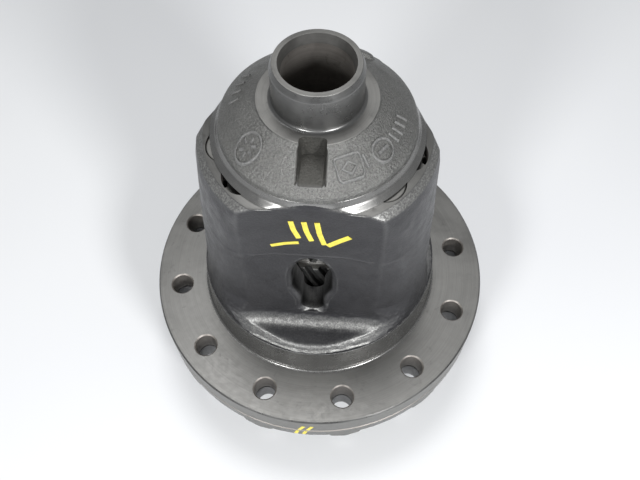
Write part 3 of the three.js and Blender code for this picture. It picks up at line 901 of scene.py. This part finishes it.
HELIX, PRESSURE = math.radians(22), math.radians(25)
PLANET_TEETH, SUN_TEETH = 8, 27
BACKLASH = 0.5
PLANET_PITCH = PLANET_CIRCLE * PLANET_TEETH / (PLANET_TEETH + SUN_TEETH)
SUN_PITCH = PLANET_CIRCLE - PLANET_PITCH
HALF_PAIR = math.asin(PLANET_PITCH / PLANET_CIRCLE)
PAIR_AZIMUTH = (joint_axis("planet_1a_spin")[1] + joint_axis("planet_1b_spin")[1]) / 2
# Teeth, pitch radius, root radius and tip radius.
PLANET_GEAR = (PLANET_TEETH, PLANET_PITCH, 9.35, 11.75)
SUN_GEAR = (SUN_TEETH, SUN_PITCH, 34.5, 36.87)
UPPER_TEETH, LOWER_TEETH = (140.125, 191.875), (80.125, 132)
GEAR_HUB_R = 26
# The spans of an upright planet's parts; a turned-over one has them at PLANET_ENDS less each height.
LONG_TEETH, STUB_TEETH, DISC = (136.0, 212.6), (57.7, 77.7), (212.6, 216.6)
PLANET_ENDS = 269.9
NECK_R, DISC_R = 8.8, 11.6


def involute(angle):
    """The involute function, from which a tooth's thickness follows."""
    return math.tan(angle) - angle


def tooth_outline(gear):
    """One tooth as (radius, angle from its centre), with rounded root corners and eased tips."""
    teeth, pitch, root, tip = gear
    base = pitch * math.cos(PRESSURE)
    at_pitch = math.pi / (2 * teeth) - BACKLASH / (4 * pitch) + involute(PRESSURE)

    def half(radius):
        return at_pitch - involute(math.acos(min(1, base / radius)))

    fillet, steps = 0.5, 4
    foot = half(root + fillet)
    gap = math.pi / teeth - foot
    flank = [(root, math.pi / teeth), (root + 0.02, foot + 0.45 * gap), (root + 0.16, foot + 0.14 * gap)]
    radii = [root + fillet + (tip - root - 0.72) * i / steps for i in range(steps + 1)]
    flank += [(r, half(r)) for r in radii]
    flank.append((tip, half(tip) - 0.2 / tip))
    return [(r, -a) for r, a in flank] + [(r, a) for r, a in reversed(flank[1:])]


GEAR_LOOKS = [GEAR_STEEL, PLANET_END]
PLANET_LOOKS = [PLANET_STEEL, PLANET_END]
FACED = 1  # the place of the look for faced surfaces


def toothed_ring(tooth, count, turn, z):
    """A ring of equal teeth at a height, from one tooth's (radius, angle from its centre)."""
    ring = []
    for i in range(count):
        centre = turn + i * 2 * math.pi / count
        ring += [Vector((r * math.cos(centre + a), r * math.sin(centre + a), z)) for r, a in tooth]
    return ring


def helical(gear, hand, phase, low, high, steps, looks):
    """A solid length of helical gear, with chamfered tooth ends and faced end faces."""
    teeth, pitch, _, tip = gear
    ease = 0.7
    outline = tooth_outline(gear)
    levels = [(low, tip - ease), (low + ease, tip)]
    levels += [(low + ease + (high - low - 2 * ease) * i / steps, tip) for i in range(1, steps)]
    levels += [(high - ease, tip), (high, tip - ease)]
    rings = []
    for z, limit in levels:
        tooth = [(min(r, limit), a) for r, a in outline]
        rings.append(toothed_ring(tooth, teeth, phase + hand * math.tan(HELIX) / pitch * z, z))
    piece = loft("teeth", rings, looks)
    for end in piece.data.polygons[-2:]:  # a loft's last two faces are its ends
        end.material_index = FACED
    return piece


def faced(corners, looks, segments):
    """A turned solid with faced surfaces, from (r, z, fillet) corners."""
    return lathe("tool", [(r, z, FACED, fillet) for r, z, fillet in corners], looks, segments)


def meshed_phase(known, known_teeth, teeth, direction):
    """The tooth phase of a gear that meshes with another across a line of centres."""
    offset = (known - direction) * known_teeth / (2 * math.pi)
    return direction + math.pi - 2 * math.pi * offset / teeth + math.pi / teeth


def spline_tool(low, high):
    """The cut for an axle's splines, with countersunk ends."""
    count, major, minor, sink = 31, 16.5, 15.3, 0.9
    levels = [(low - PAST, PAST + sink), (low + sink, 0), (high - sink, 0), (high + PAST, PAST + sink)]
    outline = [(minor, -0.42), (major, -0.2), (major, 0.2), (minor, 0.42)]
    rings = []
    for z, grow in levels:
        tooth = [(max(r, minor + grow), a * 2 * math.pi / count) for r, a in outline]
        rings.append(toothed_ring(tooth, count, 0, z))
    return loft("spline_tool", rings, GEAR_LOOKS)


def make_side_gear(name, node, body, hand, phase, teeth):
    low, high = z_span(node)
    piece = helical(SUN_GEAR, hand, phase, *teeth, 6, GEAR_LOOKS)
    hub = [(0, low, 0), (GEAR_HUB_R, low, 0.8), (GEAR_HUB_R, high, 0.8), (0, high, 0)]
    combine(piece, faced(hub, GEAR_LOOKS, 144), "UNION")
    combine(piece, spline_tool(low, high))
    piece.name = name
    place(piece, body, "gear_steel", node)


def planet_blank(hand, phase, upright):
    """Long teeth, a neck and stub teeth, and a disc with a centre hole on the end of the long teeth."""
    def teeth(span, steps):
        low, high = span if upright else (PLANET_ENDS - z for z in reversed(span))
        return helical(PLANET_GEAR, hand, phase, low, high, steps, PLANET_LOOKS)

    def turned(corners, segments):
        if not upright:
            corners = [(r, PLANET_ENDS - z, fillet) for r, z, fillet in reversed(corners)]
        return faced(corners, PLANET_LOOKS, segments)

    piece = teeth(LONG_TEETH, 12)
    combine(piece, teeth(STUB_TEETH, 5), "UNION")
    low, high = STUB_TEETH[0] + 1, LONG_TEETH[1] - 1
    neck = [(0, low, 0), (NECK_R, low, 0.6), (NECK_R, high, 0.6), (0, high, 0)]
    combine(piece, turned(neck, 96), "UNION")
    (low, high), grip = DISC, 0.6
    disc = [(0, low - grip, 0), (DISC_R - grip, low - grip, 0), (DISC_R, low, 0), (DISC_R, high, 0.7)]
    combine(piece, turned([*disc, (0, high, 0)], 96), "UNION")
    hole, depth, over = 4.5, 4, 0.5
    combine(piece, turned([(0, high - depth, 0), (hole, high + over, 0), (0, high + over, 0)], 48))
    return piece


def make_gears():
    phase_a = meshed_phase(-PAIR_AZIMUTH, SUN_TEETH, PLANET_TEETH, -HALF_PAIR)
    phase_b = meshed_phase(phase_a, PLANET_TEETH, PLANET_TEETH, math.pi / 2)
    lower = meshed_phase(phase_b, PLANET_TEETH, SUN_TEETH, HALF_PAIR + math.pi) + PAIR_AZIMUTH
    make_side_gear("side_gear_top", "side_gear_upper", "upper_side_gear", 1, 0, UPPER_TEETH)
    make_side_gear("side_gear_bottom", "side_gear_lower", "lower_side_gear", -1, lower, LOWER_TEETH)

    for letter, hand, phase in (("a", -1, phase_a), ("b", 1, phase_b)):
        blank = planet_blank(hand, phase, upright=letter == "a")
        for i, pair in enumerate(around(3, math.degrees(PAIR_AZIMUTH))):
            piece = add_object(f"planet_gear_{i + 1}{letter}", blank.data.copy())
            piece.location = polar(PLANET_CIRCLE, pair + hand * math.degrees(HALF_PAIR)) * MM
            piece.rotation_euler.z = math.radians(pair)
            node = f"planet_{i + 1}{letter}"
            place(piece, node, "planet_steel", node)
        bpy.data.objects.remove(blank, do_unlink=True)


make_gears()

# ---- Washers, screws and pins ----

CENTRE_BORE = 19.0  # of the washers and the spacer between the side gears
SCREW_HEAD, SCREW_SHANK = 6.5, 3.75
SOCKET, SOCKET_DEPTH = 2.95, 3
DOWEL_R = 4


def make_washers():
    ease, groove, half_groove = 0.35, 0.7, 0.8
    for node, body, slot in (
        ("thrust_washer_lower", "case", "washer_steel"),
        ("thrust_washer_upper", "case", "washer_steel"),
        ("centre_washer_lower", "lower_side_gear", "washer_steel"),
        ("centre_washer_upper", "lower_side_gear", "washer_steel"),
        ("centre_spacer", "lower_side_gear", "spacer_steel"),
    ):
        (_, _, low), (outer, _, high) = cad_box(node)
        inner = HUB_CAVITY if "thrust" in node else CENTRE_BORE
        outline = [(inner, low, 0, ease), (outer, low, 0, ease)]
        if node == "centre_spacer":
            middle = (low + high) / 2
            outline += [(outer, middle - half_groove, 0, 0.2), (outer - groove, middle, 0, 0.4)]
            outline += [(outer, middle + half_groove, 0, 0.2)]
        outline += [(outer, high, 0, ease), (inner, high, 0, ease)]
        place(lathe(node + "_turned", outline, [WASHER_STEEL], 192), body, slot, node)


def make_screws():
    low, high = z_span("cover_screw_1")
    outline = [(0, low, 0, 0), (SCREW_HEAD, low, 0, 0.7), (SCREW_HEAD, SCREW_SEAT, 0, 0.2)]
    outline += [(SCREW_SHANK, SCREW_SEAT, 0, 0.3), (SCREW_SHANK, high, 0, 0.8), (0, high, 0, 0)]
    levels = [(low - 1, SOCKET + 1.45), (low + 0.5, SOCKET), (low + SOCKET_DEPTH, SOCKET)]
    levels.append((low + SOCKET_DEPTH + 0.8, 0.4))
    for i, azimuth in enumerate(around(SCREWS, SCREW_AZIMUTH)):
        piece = lathe(f"socket_screw_{i + 1}", outline, [SCREW_STEEL], 64)
        socket = [[polar(r, a, z) for a in around(6, azimuth)] for z, r in levels]
        combine(piece, loft("socket", socket, [SCREW_STEEL]))
        piece.location = polar(BOLT_CIRCLE, azimuth) * MM
        place(piece, "case", "screw_steel", f"cover_screw_{i + 1}")


def make_pins():
    low, high = z_span("dowel_pin_1")
    outline = [(0, low, 0, 0), (DOWEL_R, low, 0, 0.8), (DOWEL_R, high, 0, 0.8), (0, high, 0, 0)]
    for i, azimuth in enumerate(around(DOWELS, DOWEL_AZIMUTH)):
        piece = lathe(f"ground_pin_{i + 1}", outline, [PIN_STEEL], 64)
        piece.location = polar(BOLT_CIRCLE, azimuth) * MM
        place(piece, "case", "pin_steel", f"dowel_pin_{i + 1}")


make_washers()
make_screws()
make_pins()

# ---- Cast marks and paint ----


def stroke(path, width, height, surface, look, sink=0.3):
    """A raised ribbon along a path of (sideways, along) points, laid on a surface.

    The surface maps sideways, along and a height above it to a point.
    """
    half = [(0.5, -sink), (0.5, 0.35 * height), (0.34, 0.85 * height)]
    section = [(-w, h) for w, h in half] + [(0, height)] + half[::-1]
    closed = (Vector(path[0]) - Vector(path[-1])).length < TINY
    points = [Vector(p) for p in (path[:-1] if closed else path)]
    rings = []
    for i, point in enumerate(points):
        before = points[i - 1] if closed or i else point
        after = points[(i + 1) % len(points)] if closed or i < len(points) - 1 else point
        along = (after - before).normalized()
        across = Vector((-along.y, along.x))
        rings.append([surface(*(point + across * width * w), h) for w, h in section])
    return loft("stroke", rings, [look], closed=closed)


def on_dome(azimuth, radius):
    """A patch of the dome round a point: sideways runs round it and along runs outwards."""
    def surface(sideways, along, height):
        r = radius + along
        return polar(r, azimuth + math.degrees(sideways / r), dome_height(r) + height)

    return surface


def arc_path(middle, radius, first, last, steps):
    angles = [first + (last - first) * i / steps for i in range(steps + 1)]
    return [Vector(middle) + polar(radius, a).xy for a in angles]


def box_path(width, height, corner):
    """A rectangle with rounded corners."""
    path = []
    for x, y, first in ((1, 1, 0), (-1, 1, 90), (-1, -1, 180), (1, -1, 270)):
        middle = (x * (width / 2 - corner), y * (height / 2 - corner))
        path += arc_path(middle, corner, first, first + 90, 3)
    return path + [path[0]]


def make_cast_marks():
    """Raised foundry marks with no lettering: a ring of pips, a framed rhombus, a barred oval, bars."""
    marks = []

    def add(path, surface, width=1.5):
        marks.append(stroke(path, width, 1.1, surface, CAST_DOME_LIT))

    ring = on_dome(217, 42.0)
    add(arc_path((0, 0), 6.6, 0, 360, 48), ring, 1.2)
    for a in around(6, 18):
        add([polar(2.0, a).xy, polar(4.4, a).xy], ring, 1.3)
    frame_at = on_dome(291, 41.0)
    add(box_path(13, 9.5, 1.8), frame_at, 1.1)
    add([(-3.6, 0), (0, -2.4), (3.6, 0), (0, 2.4), (-3.6, 0)], frame_at, 1.3)
    add([(0, -2.8), (0, 2.8)], on_dome(303, 41))
    oval = on_dome(318, 41.5)
    add([Vector((1.35 * p.x, p.y)) for p in arc_path((0, 0), 4.4, 0, 360, 40)], oval, 1.2)
    add([(-3.4, 0), (3.4, 0)], oval, 1.4)
    for azimuth in (331, 337, 343, 349):
        add([(-0.5, -2.6), (0.5, 2.6)], on_dome(azimuth, 41.5), 1.3)
    for azimuth in (150, 158, 166, 174):
        add([(0, -2.6), (0.4, 2.6)], on_dome(azimuth, 42), 1.0)
    place(join("cast_marks", marks), "case", "case_iron", sharp=50)


def make_pad():
    """The small raised pad on the dome's far side."""
    surface = on_dome(58, 44.5)
    rings = []
    circle = [polar(1, a).xy for a in around(40)]
    for grow, height in ((1.6, -1.5), (0.8, 0.4), (0.2, 1.5), (-0.4, 2.2), (-1.6, 2.6)):
        rings.append([surface((6.5 + grow) * x, (4 + grow) * y, height) for x, y in circle])
    place(loft("cast_pad", rings, [CAST_DOME_LIT]), "case", "case_iron", sharp=50)


RIM_PAINT = 0.095  # the most the paint on the rim may stand out, to stay inside the CAD's box
STRIPES_AZIMUTH = 266


def on_front_face(sideways, up, height):
    turn = Matrix.Rotation(math.radians(FACE_AZIMUTHS[0]), 3, "Z")
    z = FLANGE_TOP + up
    return turn @ Vector((drafted(FACE, z) + 0.05 + height, sideways, z))


def on_rim(sideways, up, height):
    azimuth = STRIPES_AZIMUTH + math.degrees(sideways / RIM)
    return polar(RIM + min(height, RIM_PAINT), azimuth, JOINT + up)


def make_paint():
    """Brushed marks with no lettering: slanted dabs on the front face, index stripes on the rim."""
    dabs = [([(-20.5, 115), (-13, 118), (-6, 119.5)], 2.4)]
    for x, height in ((-9.5, 15), (-3, 17), (3.5, 20)):
        dabs.append(([(x, 139), (x + 1.2, 139 - height / 2), (x + 3.6, 139 - height)], 2.7))
    dabs.append(([(9, 118), (14.5, 123), (20, 127.5)], 3.4))
    marks = [stroke(resampled(p, 14), width, 0.28, on_front_face, YELLOW, 0.35) for p, width in dabs]
    for path in (
        [(-6.5, 1.2), (-3.4, 9.0)],
        [(-1.2, 1.6), (1.9, 9.6)],
        [(-9.0, -8.0), (-7.4, -1.2)],
        [(-3.8, -7.6), (-2.2, -1.2)],
    ):
        marks.append(stroke(resampled(path, 6), 2.2, 0.09, on_rim, YELLOW, 0.1))
    place(join("inspection_paint", marks), "case", "case_iron", sharp=60)


make_cast_marks()
make_pad()
make_paint()

# ---- Studio ----


def make_floor():
    n = Nodes("studio_floor")
    tone = n.ramp(n.noise(n.position(), 400, 2), (0.3, (0.74, 0.75, 0.77)), (0.7, (0.78, 0.79, 0.8)))
    look = n.finish(tone, 0.6, metallic=0.0)
    size = 3000
    points = [(-size, -size, 0), (size, -size, 0), (size, size, 0), (-size, size, 0)]
    floor = make_mesh("floor", points, [(0, 1, 2, 3)], [look], [0])


def area_light(name, place_mm, target_mm, size, power):
    data = bpy.data.lights.new(name, "AREA")
    data.shape = "DISK"
    data.size = size * MM
    data.energy = power
    lamp = add_object(name, data)
    lamp.location = Vector(place_mm) * MM
    aim = Vector(target_mm) - Vector(place_mm)
    lamp.rotation_euler = aim.to_track_quat("-Z", "Y").to_euler()


def make_studio():
    area_light("front_left", (-560, -980, 800), (0, 0, 150), 300, 9)
    area_light("front_right", (520, -900, 720), (0, 0, 120), 300, 11)
    area_light("top", (-40, 250, 1150), (0, 0, 150), 430, 5)
    world = bpy.data.worlds.new("studio")
    world.use_nodes = True
    background = next(n for n in world.node_tree.nodes if n.type == "BACKGROUND")
    background.inputs["Color"].default_value = (0.96, 0.98, 1, 1)
    background.inputs["Strength"].default_value = 0.3
    bpy.context.scene.world = world
    bpy.context.scene.view_settings.view_transform = "Standard"


make_floor()
make_studio()
